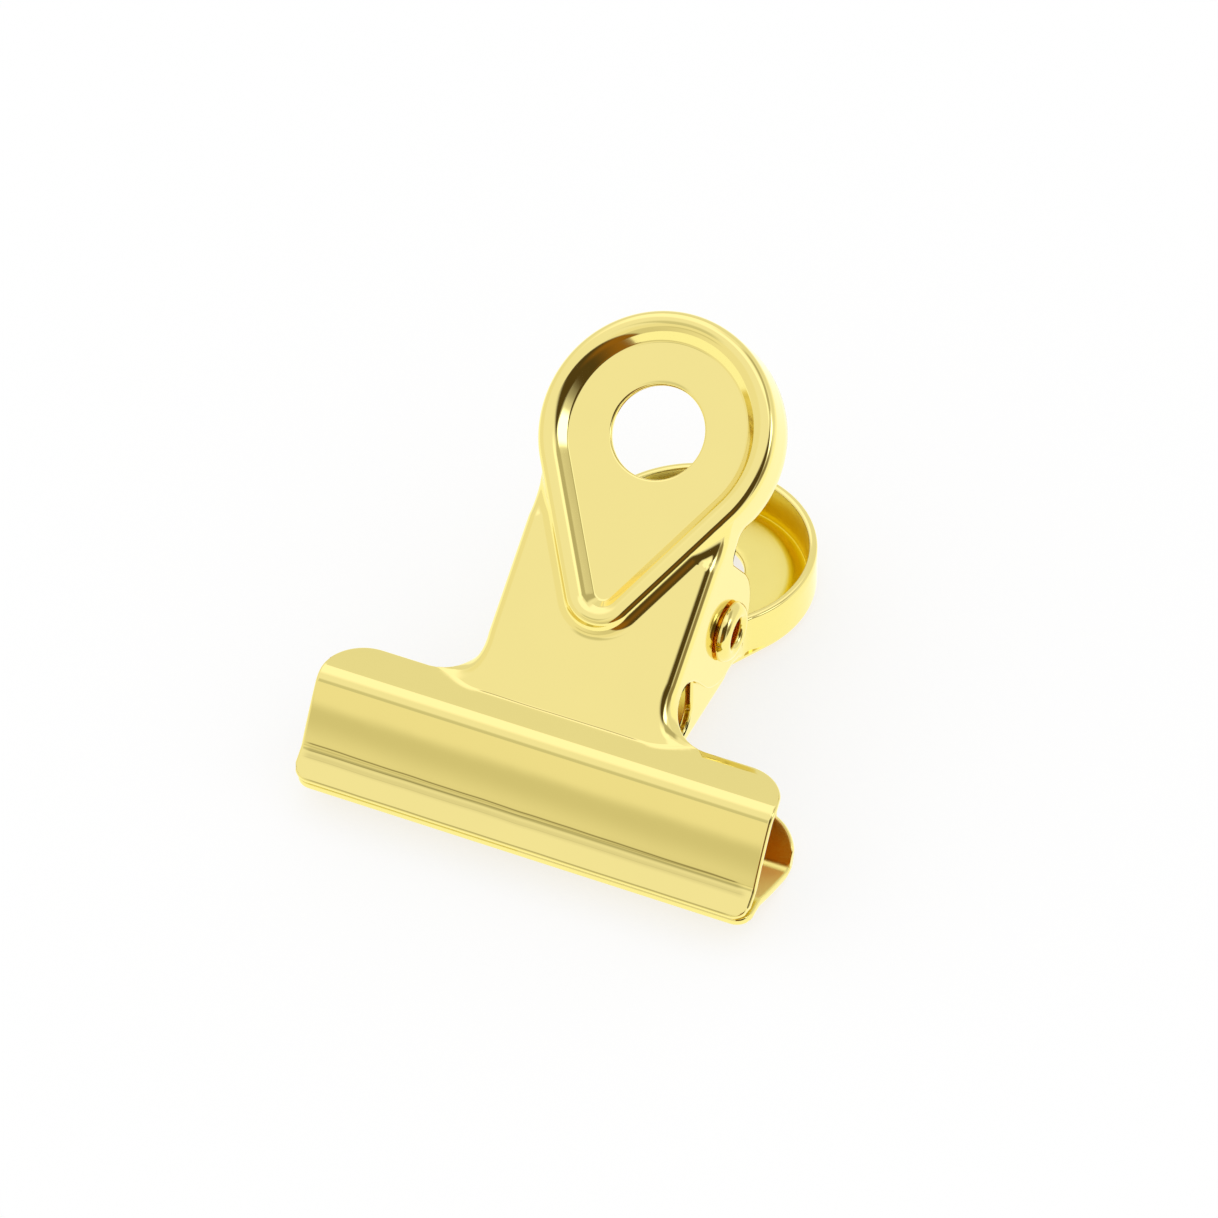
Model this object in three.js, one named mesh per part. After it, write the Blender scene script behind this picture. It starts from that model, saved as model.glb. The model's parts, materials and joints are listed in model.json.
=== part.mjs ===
// A 20 mm hinge clip of gold-plated sheet steel. Two pressed levers turn on a tubular rivet,
// and a torsion spring round the rivet pushes their thumb tabs apart and their jaws together.
//
// Units are millimetres and +Z is up. The clip lies on its rear lever, as it does on a desk,
// with its jaws towards -Y and its thumb tabs towards +Y.
//
// Each lever is drawn in its own frame: X is the pivot axis, Y runs along the plate from the
// pivot to the tab, and Z points out of the clip, away from the other lever.

import * as THREE from "three";
import { mergeVertices } from "three/addons/utils/BufferGeometryUtils.js";

// The sheet and the angle between the levers
const sheet = 0.35;
const bendRadius = 0.55;
const pivotToPlate = 4.2;
const leverTilt = THREE.MathUtils.degToRad(19.2);

// The neck and its folded sides, which carry the rivet
const neckWidth = 8.32;
const sideGap = 0.15;
const frontEarRadius = 2.45;
const rearEarRadius = 2.3;
const mostEarFillet = 0.6;
const earFootHeight = 2.05;
const collarDepth = 1.17;

// The thumb tab: a drop-shaped floor, a rounded bead round it and a folded rim
const holeAbovePivot = 6.45;
const holeRadius = 1.94;
const floorRadius = 3.65;
const floorLevel = -0.05;
const tipDrop = 6.75;
const tipRadius = 0.31;
const beadWidth = 1.3;
const neckFillet = 1.0;
const rimDepth = 1.86;
const beadHeight = 0.41;
const beadFootRadius = 0.2;
const beadInnerRadius = 0.8;
const shoulderRadius = 0.4;
const beadOuterRadius = 0.75;

// The jaw: a flange that flares out from the neck, a bulge, a long face and a bend to the lip
const jawWidth = 20;
const creaseBelowPivot = 5.62;
const creaseFillet = 0.25;
const wingRise = 0.55;
const flangeLength = 1.2;
const flangeAngle = THREE.MathUtils.degToRad(40);
const bulgeRadius = 0.9;
const faceLength = 2.6;
const faceRadius = 21;
const lipBendRadius = 0.6;
const lipLength = 1.2;
const lipAngle = THREE.MathUtils.degToRad(2);
const lipGap = 0.3;
const wingCorner = 1.85;
const lipCorner = 0.7;
const wingFillet = 1.95;

// The rivet
const shankRadius = 0.9;
const boreRadius = 0.62;
const pivotClearance = 0.1;
const rivetHeadRadius = 1.28;
const rivetHeadThickness = 0.42;
const rivetCrestRadius = 0.86;
const rivetHeadGap = 0.1;

// The torsion spring
const wireRadius = 0.35;
const coilClearance = 0.3;
const coilPitch = 1.16;
const wholeTurns = 4;
const legReach = 4.6;
const legGap = 0.15;

// How finely the curves are divided
const tabSteps = 16;
const sideSteps = 7;
const filletSteps = 4;
const neckFilletSteps = 5;
const leastStep = 0.01;
const neckSteps = 4;
const rootSteps = 3;
const beadInnerSteps = 2;
const shoulderSteps = 4;
const beadOuterSteps = 3;
const foldSteps = 4;
const creaseSteps = 2;
const wingSteps = 2;
const cornerSteps = 4;
const bulgeSteps = 3;
const faceSteps = 2;
const lipBendSteps = 2;
const headSteps = 4;
const earSteps = 12;
const pinSides = 20;
const wireSides = 5;
const stepsPerTurn = 8;
const halvings = 50;
const weldDistance = 1e-3;

const gold = { color: 0xf4e493, roughness: 0.12, metalness: 1 };

// Finds where a function that falls as its argument grows crosses zero.
function crossing(fall, low, high) {
  for (let i = 0; i < halvings; i += 1) {
    const middle = (low + high) / 2;
    if (fall(middle) > 0) {
      low = middle;
    } else {
      high = middle;
    }
  }
  return (low + high) / 2;
}

// Values from start to end in equal steps, both ends included.
function spread(start, end, steps) {
  return Array.from({ length: steps + 1 }, (_, i) => start + ((end - start) * i) / steps);
}

// The bead's slopes follow from its height, its width and its radii.
const quarter = Math.PI / 2;
const tabRadius = floorRadius + beadWidth;
const arcHandle = (4 / 3) * (Math.SQRT2 - 1);
const crestOffset = beadWidth - shoulderRadius;
const innerRise = beadHeight - floorLevel;
const innerRadii = beadFootRadius + beadInnerRadius;
const innerSlope =
  Math.asin(innerRadii / Math.hypot(crestOffset, innerRadii - innerRise)) -
  Math.atan2(innerRadii - innerRise, crestOffset);
const outerSlope = Math.acos(1 - beadHeight / (shoulderRadius + beadOuterRadius));

// The floor's outline is a large circle, a small one at the tip and their common tangents.
const dropAngle = Math.asin((floorRadius - tipRadius) / tipDrop);

// The point of the floor's outline that is nearest to a point outside it, and the way out.
function floorEdge(point) {
  const centre = new THREE.Vector2(0, holeAbovePivot);
  const tip = new THREE.Vector2(0, holeAbovePivot - tipDrop);
  const down = new THREE.Vector2(-Math.sin(dropAngle), -Math.cos(dropAngle));
  const reach = point.clone().sub(centre).dot(down);
  if (reach < 0) {
    const out = point.clone().sub(centre).normalize();
    return { out, foot: centre.addScaledVector(out, floorRadius) };
  }
  if (reach > tipDrop * Math.cos(dropAngle)) {
    const out = point.clone().sub(tip).normalize();
    return { out, foot: tip.addScaledVector(out, tipRadius) };
  }
  const out = new THREE.Vector2(Math.cos(dropAngle), -Math.sin(dropAngle));
  const away = point.clone().sub(centre).dot(out) - floorRadius;
  return { out, foot: point.clone().addScaledVector(out, -away) };
}

// The bead's section from the floor outwards, as offsets from the floor's edge. Its outer side
// falls to the steepest slope given, and eases back to the last slope given.
function beadSection(steepest, last) {
  const section = [];
  const straight = (crestOffset - innerRadii * Math.sin(innerSlope)) / Math.cos(innerSlope);
  for (const turn of spread(0, innerSlope, beadInnerSteps)) {
    const offset = beadFootRadius * Math.sin(turn);
    section.push([offset, floorLevel + beadFootRadius * (1 - Math.cos(turn))]);
  }
  const [footOffset, footLevel] = section.at(-1);
  for (const turn of spread(innerSlope, 0, beadInnerSteps)) {
    const along = beadInnerRadius * (Math.sin(innerSlope) - Math.sin(turn));
    const rise = beadInnerRadius * (Math.cos(turn) - Math.cos(innerSlope));
    const offset = footOffset + straight * Math.cos(innerSlope) + along;
    section.push([offset, footLevel + straight * Math.sin(innerSlope) + rise]);
  }
  for (const turn of spread(0, steepest, shoulderSteps).slice(1)) {
    const drop = shoulderRadius * (1 - Math.cos(turn));
    section.push([crestOffset + shoulderRadius * Math.sin(turn), beadHeight - drop]);
  }
  const [shoulderOffset, shoulderLevel] = section.at(-1);
  for (const turn of spread(steepest, last, beadOuterSteps).slice(1)) {
    const along = beadOuterRadius * (Math.sin(steepest) - Math.sin(turn));
    const drop = beadOuterRadius * (Math.cos(turn) - Math.cos(steepest));
    section.push([shoulderOffset + along, shoulderLevel - drop]);
  }
  return section;
}

// Where the folded rim crowds the bead, the bead's outer side runs into the rim. The share is
// 0 where its shoulder is the rim's own bend and 1 where it comes down to the flat plate.
function beadSlopes(share) {
  const steepest = quarter + (outerSlope - quarter) * share;
  return { steepest, last: steepest * (1 - share) };
}

// One section of the plate, from the floor's edge through the bead to the fold. The wall point
// is where the folded side stands, and facing is the way that this side faces.
function foldedSection(wall, facing) {
  const foldStart = (share) => {
    const { last } = beadSlopes(share);
    return wall.clone().addScaledVector(facing, -bendRadius * (1 - Math.sin(last)));
  };
  const room = (share) => {
    const { steepest, last } = beadSlopes(share);
    const [beadEnd] = beadSection(steepest, last).at(-1);
    const start = foldStart(share);
    return start.distanceTo(floorEdge(start).foot) - beadEnd;
  };
  const share = room(1) >= 0 ? 1 : crossing(room, 0, 1);
  return { ...plateSection(foldStart(share), share), facing, wall };
}

// One section of the plate that ends at a point of the flat plate, or where the share says.
function plateSection(end, share = 1) {
  const { steepest, last } = beadSlopes(share);
  const { out, foot } = floorEdge(end);
  const points = beadSection(steepest, last).map(([offset, level]) => {
    const place = foot.clone().addScaledVector(out, offset);
    return new THREE.Vector3(place.x, place.y, level);
  });
  const level = points.at(-1).z;
  points.push(new THREE.Vector3(end.x, end.y, level));
  return { points, slope: last, level };
}

// The fold of one section: a bend to square, and a wall down to the rim.
function foldSection({ wall, facing, slope, level }, depth) {
  const points = [];
  for (const turn of spread(slope, quarter, foldSteps)) {
    const inset = -bendRadius * (1 - Math.sin(turn));
    const place = wall.clone().addScaledVector(facing, inset);
    const drop = bendRadius * (Math.cos(slope) - Math.cos(turn));
    points.push(new THREE.Vector3(place.x, place.y, level - drop));
  }
  points.push(new THREE.Vector3(wall.x, wall.y, -depth));
  return points;
}

// The jaw's section is a chain of arcs and straights from the crease down. Each has a curvature,
// which is positive where the sheet turns back towards the other lever, and a length.
function jawChain(faceAngle) {
  const bendAngle = faceAngle - faceLength / faceRadius;
  return [
    { curvature: 0, length: flangeLength },
    { curvature: 1 / bulgeRadius, length: bulgeRadius * (flangeAngle - faceAngle) },
    { curvature: 1 / faceRadius, length: faceLength },
    { curvature: -1 / lipBendRadius, length: lipBendRadius * (lipAngle - bendAngle) },
    { curvature: 0, length: lipLength },
  ];
}

// A point of the section at a length below the crease. Above the crease the flange runs on
// straight as the wing.
function chainPoint(chain, length) {
  let place = { y: -creaseBelowPivot, z: 0, angle: flangeAngle };
  let left = length;
  for (const { curvature, length: whole } of chain) {
    const step = Math.min(left, whole);
    const { y, z, angle } = place;
    const turned = angle - curvature * step;
    const down = curvature ? (Math.sin(angle) - Math.sin(turned)) / curvature : step * Math.cos(angle);
    const out = curvature ? (Math.cos(turned) - Math.cos(angle)) / curvature : step * Math.sin(angle);
    place = { y: y - down, z: z + out, angle: turned };
    left -= step;
    if (left <= 0) {
      break;
    }
  }
  return place;
}

function chainEnds(chain) {
  const ends = [0];
  chain.forEach(({ length }, i) => ends.push(ends[i] + length));
  return ends;
}

// The face leans so far that the lips meet, less the gap between them. The inner corners of the
// two cut edges are what meet.
function lipRoom(lean) {
  const chain = jawChain(-lean);
  const { y, z, angle } = chainPoint(chain, chainEnds(chain).at(-1));
  const innerY = y - sheet * Math.sin(angle);
  const innerZ = z - sheet * Math.cos(angle) + pivotToPlate;
  return innerY * Math.sin(leverTilt) + innerZ * Math.cos(leverTilt) - lipGap / 2;
}
const steepestLean = THREE.MathUtils.degToRad(75);
const jaw = jawChain(-crossing(lipRoom, -flangeAngle, steepestLean));

// Lengths along the jaw are counted from the wing's free edge, one wing rise above the crease.
const jawEnds = chainEnds(jaw).map((end) => end + wingRise);
const [, bulgeStart, bulgeEnd, faceEnd, bendEnd, jawLength] = jawEnds;

function jawPoint(length) {
  return chainPoint(jaw, length - wingRise);
}

// A skin is a list of triangles. A grid of points becomes quads, seen from outside when its
// rows run outwards and its columns run anticlockwise.
function addGrid(skin, rows) {
  for (let i = 0; i + 1 < rows.length; i += 1) {
    for (let j = 0; j + 1 < rows[i].length; j += 1) {
      const [a, b] = [rows[i][j], rows[i + 1][j]];
      const [d, c] = [rows[i][j + 1], rows[i + 1][j + 1]];
      skin.push([a, b, c], [a, c, d]);
    }
  }
}

// Flat areas with any outline are cut into triangles as they come.
function addFlat(skin, outline, hole, place) {
  const corners = [...outline, ...hole];
  for (const [a, b, c] of THREE.ShapeUtils.triangulateShape(outline, hole.length ? [hole] : [])) {
    skin.push([place(corners[a]), place(corners[b]), place(corners[c])]);
  }
}

function transpose(rows) {
  return rows[0].map((_, j) => rows.map((row) => row[j]));
}

// How far along a line of points each point lies, from 0 to 1.
function shares(points) {
  const lengths = [0];
  points.slice(1).forEach((point, i) => lengths.push(lengths[i] + point.distanceTo(points[i])));
  return lengths.map((length) => length / lengths.at(-1));
}

// Fills a four-sided area between its edges. Left and right run outwards, and inner and outer
// run from left to right.
function fillBetween(left, right, inner, outer) {
  const downShares = shares(right);
  const acrossShares = shares(inner);
  return left.map((_, i) =>
    inner.map((_, j) => {
      const u = downShares[i];
      const v = acrossShares[j];
      const point = new THREE.Vector3();
      point.addScaledVector(left[i], 1 - v).addScaledVector(right[i], v);
      point.addScaledVector(inner[j], 1 - u).addScaledVector(outer[j], u);
      point.addScaledVector(left[0], -(1 - u) * (1 - v)).addScaledVector(right[0], -(1 - u) * v);
      point.addScaledVector(left.at(-1), -u * (1 - v)).addScaledVector(right.at(-1), -u * v);
      return point;
    }),
  );
}

// The right half of a lever's outer skin.
function halfSkin(width, earRadius) {
  const skin = [];
  const half = width / 2;
  const foldLine = half - bendRadius;
  const creaseReach = creaseFillet * Math.tan(flangeAngle / 2);
  const plateEnd = -creaseBelowPivot + creaseReach;
  const wingTop = jawPoint(0);
  const collarFoot = wingTop.y + wingFillet;

  // The plate's lower edge and the stretch beside the wing's root, which have no fold
  const creaseSections = spread(0, foldLine, neckSteps).map((x) =>
    plateSection(new THREE.Vector2(x, plateEnd)),
  );
  const rootSections = spread(plateEnd, collarFoot, rootSteps)
    .slice(1)
    .map((y) => plateSection(new THREE.Vector2(foldLine, y)));

  // The folded outline: up the neck, round the fillet and round the tab
  const filletCentre = new THREE.Vector2(half + neckFillet, 0);
  const filletDrop = Math.sqrt((tabRadius + neckFillet) ** 2 - filletCentre.x ** 2);
  filletCentre.y = holeAbovePivot - filletDrop;
  const filletAngle = Math.atan2(filletDrop, filletCentre.x);
  const earTopFillet = Math.min(mostEarFillet, filletCentre.y - earRadius);
  const earTop = earRadius + earTopFillet;
  const right = new THREE.Vector2(1, 0);
  const folds = [];
  for (const y of spread(collarFoot, earTop, sideSteps)) {
    folds.push(foldedSection(new THREE.Vector2(half, y), right));
  }
  if (filletCentre.y - earTop < leastStep) {
    folds.pop();
  }
  for (const turn of spread(0, filletAngle, neckFilletSteps)) {
    const facing = new THREE.Vector2(Math.cos(turn), -Math.sin(turn));
    folds.push(foldedSection(filletCentre.clone().addScaledVector(facing, -neckFillet), facing));
  }
  for (const turn of spread(-filletAngle, quarter, tabSteps).slice(1)) {
    const facing = new THREE.Vector2(Math.cos(turn), Math.sin(turn));
    const centre = new THREE.Vector2(0, holeAbovePivot);
    folds.push(foldedSection(centre.addScaledVector(facing, tabRadius), facing));
  }
  const sections = [...creaseSections, ...rootSections, ...folds.slice(1)];
  addGrid(skin, transpose(sections.map((section) => section.points)));

  // The rim deepens from the collar at the wing to its full depth at the tab.
  const depthAt = ({ wall }) => {
    const share = THREE.MathUtils.clamp((wall.y - collarFoot) / (earTop - collarFoot), 0, 1);
    return collarDepth + (rimDepth - collarDepth) * share;
  };
  const foldRows = transpose(folds.map((fold) => foldSection(fold, depthAt(fold))));
  addGrid(skin, foldRows);

  // The floor, with half of the hanging hole
  const floorOutline = sections.map(({ points }) => new THREE.Vector2(points[0].x, points[0].y));
  for (const turn of spread(quarter, -quarter, tabSteps)) {
    const x = holeRadius * Math.cos(turn);
    floorOutline.push(new THREE.Vector2(x, holeAbovePivot + holeRadius * Math.sin(turn)));
  }
  addFlat(skin, floorOutline, [], (point) => new THREE.Vector3(point.x, point.y, floorLevel));

  // The ear, which hangs from the rim of the neck's wall
  const ear = foldRows
    .at(-1)
    .slice(0, sideSteps + 1)
    .map((point) => new THREE.Vector2(point.y, point.z))
    .reverse();
  const footStart = -collarDepth - earFootHeight;
  const topStart = -rimDepth - earTopFillet;
  for (const turn of spread(quarter, 0, filletSteps).slice(1)) {
    const y = -collarFoot - earRadius;
    ear.push(
      new THREE.Vector2(collarFoot + y * Math.cos(turn), footStart + earFootHeight * Math.sin(turn)),
    );
  }
  for (const turn of spread(-Math.PI, 0, earSteps)) {
    const z = -pivotToPlate + earRadius * Math.sin(turn);
    ear.push(new THREE.Vector2(earRadius * Math.cos(turn), z));
  }
  for (const turn of spread(Math.PI, quarter, filletSteps).slice(0, -1)) {
    const y = earTop + earTopFillet * Math.cos(turn);
    ear.push(new THREE.Vector2(y, topStart + earTopFillet * Math.sin(turn)));
  }
  const pinHole = spread(0, 2 * Math.PI, pinSides)
    .slice(1)
    .map((turn) => {
      const radius = shankRadius + pivotClearance;
      const z = -pivotToPlate + radius * Math.sin(turn);
      return new THREE.Vector2(radius * Math.cos(turn), z);
    });
  addFlat(skin, ear, pinHole, (point) => new THREE.Vector3(half, point.x, point.y));

  // The crease between the plate and the jaw's flange
  const creaseRows = spread(0, flangeAngle, creaseSteps).map((turn) => ({
    y: plateEnd - creaseFillet * Math.sin(turn),
    z: creaseFillet * (1 - Math.cos(turn)),
  }));
  const neckColumns = spread(0, foldLine, neckSteps);
  addGrid(
    skin,
    creaseRows.map(({ y, z }) => neckColumns.map((x) => new THREE.Vector3(x, y, z))),
  );

  // The jaw: where each column starts below the wing's free edge, and where it ends
  const wingFoot = half + wingFillet;
  const creaseEnd = wingRise + creaseReach;
  const halfJaw = jawWidth / 2;
  const jawColumns = neckColumns.map((x) => ({ x, top: creaseEnd, end: jawLength }));
  const foldEnd = foldRows.map((row) => row[0]);
  for (const share of shares(foldEnd).slice(1)) {
    const ease = (1 + Math.cos(Math.PI * share)) / 2;
    const x = foldLine + (wingFoot - foldLine) * share;
    jawColumns.push({ x, top: creaseEnd * ease, end: jawLength });
  }
  const corner = Math.max(wingCorner, lipCorner);
  for (const x of spread(wingFoot, halfJaw - corner, wingSteps).slice(1)) {
    jawColumns.push({ x, top: 0, end: jawLength });
  }
  const rounding = (radius, x) => {
    const past = Math.max(0, x - (halfJaw - radius));
    return radius - Math.sqrt(Math.max(0, radius ** 2 - past ** 2));
  };
  for (const turn of spread(0, quarter, cornerSteps).slice(1)) {
    const x = halfJaw - corner * (1 - Math.sin(turn));
    jawColumns.push({ x, top: rounding(wingCorner, x), end: jawLength - rounding(lipCorner, x) });
  }
  const jawGrid = jawColumns.map(({ x, top, end }) => {
    const lengths = [top];
    lengths.push(...spread(bulgeStart, bulgeEnd, bulgeSteps));
    lengths.push(...spread(bulgeEnd, faceEnd, faceSteps).slice(1));
    lengths.push(...spread(faceEnd, bendEnd, lipBendSteps).slice(1));
    lengths.push(end);
    return lengths.map((length) => {
      const { y, z } = jawPoint(THREE.MathUtils.clamp(length, top, end));
      return new THREE.Vector3(x, y, z);
    });
  });
  addGrid(skin, transpose(jawGrid));

  // The root of the wing, between the plate, the fold's end and the jaw
  const wingEdge = jawGrid.slice(neckSteps, neckSteps + foldEnd.length).map(([top]) => top);
  const plateSide = creaseRows
    .map(({ y, z }) => new THREE.Vector3(foldLine, y, z))
    .reverse()
    .concat(rootSections.map(({ points }) => points.at(-1)));
  const from = wingEdge.at(-1);
  const to = foldEnd.at(-1);
  const pull = wingFillet * arcHandle;
  const fillet = new THREE.CubicBezierCurve3(
    from,
    new THREE.Vector3(from.x - pull, from.y, from.z),
    new THREE.Vector3(to.x, to.y - pull, to.z),
    to,
  );
  const freeEdge = shares(plateSide).map((share) => fillet.getPoint(share));
  addGrid(skin, fillBetween(wingEdge, foldEnd, plateSide, freeEdge));
  return skin;
}

// A closed solid from an open skin: the skin, its copy one sheet further in, and the cut edges
// between the two.
function thicken(skin, thickness) {
  const outer = new THREE.BufferGeometry();
  const points = skin.flat().flatMap((point) => [point.x, point.y, point.z]);
  outer.setAttribute("position", new THREE.Float32BufferAttribute(points, 3));
  const welded = mergeVertices(outer, weldDistance);
  const kept = [];
  const source = welded.getIndex().array;
  for (let i = 0; i < source.length; i += 3) {
    const [a, b, c] = [source[i], source[i + 1], source[i + 2]];
    if (a !== b && b !== c && c !== a) {
      kept.push([a, b, c]);
    }
  }
  welded.setIndex(kept.flat());
  welded.computeVertexNormals();
  const place = welded.getAttribute("position");
  const normal = welded.getAttribute("normal");
  const vertices = Array.from(place.array);
  const count = place.count;
  for (let i = 0; i < count; i += 1) {
    const inside = new THREE.Vector3().fromBufferAttribute(place, i);
    inside.addScaledVector(new THREE.Vector3().fromBufferAttribute(normal, i), -thickness);
    vertices.push(inside.x, inside.y, inside.z);
  }
  const faces = [];
  const sides = new Set(kept.flatMap(([a, b, c]) => [`${a} ${b}`, `${b} ${c}`, `${c} ${a}`]));
  for (const [a, b, c] of kept) {
    faces.push(a, b, c, c + count, b + count, a + count);
    for (const [from, to] of [[a, b], [b, c], [c, a]]) {
      if (!sides.has(`${to} ${from}`)) {
        faces.push(to, from, from + count, to, from + count, to + count);
      }
    }
  }
  const solid = new THREE.BufferGeometry();
  solid.setAttribute("position", new THREE.Float32BufferAttribute(vertices, 3));
  solid.setIndex(faces);
  return solid;
}

function leverGeometry(width, earRadius) {
  const rightHalf = halfSkin(width, earRadius);
  const mirrored = (point) => new THREE.Vector3(-point.x, point.y, point.z);
  const leftHalf = rightHalf.map(([a, b, c]) => [mirrored(c), mirrored(b), mirrored(a)]);
  return thicken([...rightHalf, ...leftHalf], sheet).translate(0, 0, pivotToPlate);
}

// The rivet is one tube along the pivot axis with both ends rolled over the front lever's ears.
function rivetGeometry() {
  const headStart = neckWidth / 2 + rivetHeadGap;
  const headEnd = headStart + rivetHeadThickness;
  const profile = [new THREE.Vector2(shankRadius, 0), new THREE.Vector2(shankRadius, headStart)];
  for (const turn of spread(0, quarter, headSteps)) {
    const radius = rivetCrestRadius + (rivetHeadRadius - rivetCrestRadius) * Math.cos(turn);
    profile.push(new THREE.Vector2(radius, headStart + rivetHeadThickness * Math.sin(turn)));
  }
  const throat = rivetCrestRadius - boreRadius;
  for (const turn of spread(0, quarter, headSteps).slice(1)) {
    const radius = rivetCrestRadius - throat * Math.sin(turn);
    profile.push(new THREE.Vector2(radius, headEnd - throat * (1 - Math.cos(turn))));
  }
  const back = profile
    .slice(1)
    .reverse()
    .map((point) => new THREE.Vector2(point.x, -point.y));
  const tube = new THREE.LatheGeometry([...profile, ...back, profile[0].clone()], pinSides);
  return tube.rotateZ(-quarter);
}

// The spring's wire in the pivot's own frame: up is Z, the rear lever is towards +Y. The rear
// leg comes down to the coil, the coil winds round the rivet and the front leg goes up.
const coilRadius = shankRadius + coilClearance + wireRadius;

function springPath() {
  const legOut = pivotToPlate + floorLevel - sheet - wireRadius - legGap;
  const legY = legReach * Math.sin(leverTilt) + legOut * Math.cos(leverTilt);
  const legZ = legReach * Math.cos(leverTilt) - legOut * Math.sin(leverTilt);
  const leaving = Math.atan2(legZ, legY) - Math.acos(coilRadius / Math.hypot(legY, legZ));
  const turned = Math.PI + 2 * leaving + 2 * Math.PI * wholeTurns;
  const turns = turned / (2 * Math.PI);
  const halfLength = (coilPitch * turns) / 2;
  const path = [new THREE.Vector3(-halfLength, legY, legZ)];
  for (const share of spread(0, 1, Math.round(turns * stepsPerTurn))) {
    const angle = leaving - turned * share;
    const x = halfLength * (2 * share - 1);
    path.push(new THREE.Vector3(x, coilRadius * Math.cos(angle), coilRadius * Math.sin(angle)));
  }
  path.push(new THREE.Vector3(halfLength, -legY, legZ));
  return path;
}

// The least distance between stretches of the wire that aren't neighbours, less its thickness.
function leastGap(path) {
  const apart = Math.round(stepsPerTurn / 2);
  let least = Infinity;
  for (let i = 0; i + 1 < path.length; i += 1) {
    const line = new THREE.Line3(path[i], path[i + 1]);
    for (let j = i + 1 + apart; j < path.length; j += 1) {
      const nearest = line.closestPointToPoint(path[j], true, new THREE.Vector3());
      least = Math.min(least, nearest.distanceTo(path[j]) - 2 * wireRadius);
    }
  }
  return least;
}

// One unbroken round wire along a path, with flat ends.
function wireGeometry(path) {
  const rings = [];
  let across = new THREE.Vector3(1, 0, 0);
  path.forEach((point, i) => {
    const before = path[Math.max(0, i - 1)];
    const after = path[Math.min(path.length - 1, i + 1)];
    const along = after.clone().sub(before).normalize();
    across = across.clone().addScaledVector(along, -across.dot(along)).normalize();
    const other = along.clone().cross(across);
    const ring = spread(0, 2 * Math.PI, wireSides).slice(0, -1).map((turn) =>
      point
        .clone()
        .addScaledVector(across, wireRadius * Math.cos(turn))
        .addScaledVector(other, wireRadius * Math.sin(turn)),
    );
    rings.push(ring);
  });
  const faces = [];
  for (let i = 0; i + 1 < rings.length; i += 1) {
    for (let k = 0; k < wireSides; k += 1) {
      const [a, b] = [i * wireSides + k, i * wireSides + ((k + 1) % wireSides)];
      faces.push(a, b, b + wireSides, a, b + wireSides, a + wireSides);
    }
  }
  const last = (rings.length - 1) * wireSides;
  for (let k = 1; k + 1 < wireSides; k += 1) {
    faces.push(0, k + 1, k, last, last + k, last + k + 1);
  }
  const wire = new THREE.BufferGeometry();
  const points = rings.flat().flatMap((point) => [point.x, point.y, point.z]);
  wire.setAttribute("position", new THREE.Float32BufferAttribute(points, 3));
  wire.setIndex(faces);
  return wire;
}

function piece(name, geometry, look) {
  const mesh = new THREE.Mesh(geometry, new THREE.MeshStandardMaterial(look));
  mesh.name = name;
  return mesh;
}

// A lever leans out from the upright plane between the jaws.
function leaning(mesh) {
  const group = new THREE.Group();
  group.rotation.x = quarter + leverTilt;
  group.add(mesh);
  return group;
}

// The rear lever is the front one turned about, and its narrower neck fits between the ears.
const rearNeckWidth = neckWidth - 2 * (sheet + sideGap);
const rearSide = new THREE.Group();
rearSide.rotation.z = Math.PI;
rearSide.add(leaning(piece("rear_lever", leverGeometry(rearNeckWidth, rearEarRadius), gold)));

const wirePath = springPath();
console.log(`least gap of the spring's wire to itself: ${leastGap(wirePath).toFixed(3)} mm`);

const upright = new THREE.Group();
upright.add(leaning(piece("front_lever", leverGeometry(neckWidth, frontEarRadius), gold)));
upright.add(rearSide);
upright.add(piece("pivot_rivet", rivetGeometry(), gold));
upright.add(piece("torsion_spring", wireGeometry(wirePath), { ...gold, roughness: 0.25 }));

// The clip lies on its rear lever, which touches the desk with the bulge of its jaw and the
// bead of its tab. Both are round, so the desk is the common tangent of two circles.
const bulgeTop = jawPoint(bulgeStart);
const bulgeCentre = new THREE.Vector2(
  bulgeTop.y - bulgeRadius * Math.sin(flangeAngle),
  bulgeTop.z - bulgeRadius * Math.cos(flangeAngle),
);
const beadCentre = new THREE.Vector2(
  holeAbovePivot + floorRadius + crestOffset,
  beadHeight - shoulderRadius,
);
const between = beadCentre.sub(bulgeCentre);
const towards = Math.atan2(between.y, between.x);
const easing = Math.asin((shoulderRadius - bulgeRadius) / between.length());
upright.rotation.x = -(quarter - leverTilt) + towards + easing;

// The origin is the middle of the clip's footprint, on the desk.
const clip = new THREE.Group();
clip.add(upright);
const box = new THREE.Box3().setFromObject(clip, true);
const middle = box.getCenter(new THREE.Vector3());
upright.position.set(-middle.x, -middle.y, -box.min.z);

export default clip;
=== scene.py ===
# The looks of a gold hinge clip: fine sheet levers, a rolled rivet, a wound spring, their
# plating, and the white table and light tent that they are photographed in.
#
# Metres throughout. Each lever is drawn in its own frame: x along the pivot, y up the plate to
# the thumb tab, z out of the clip.

import json
import math

import bmesh
import bpy
from mathutils import Matrix, Vector
from mathutils.geometry import tessellate_polygon


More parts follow.
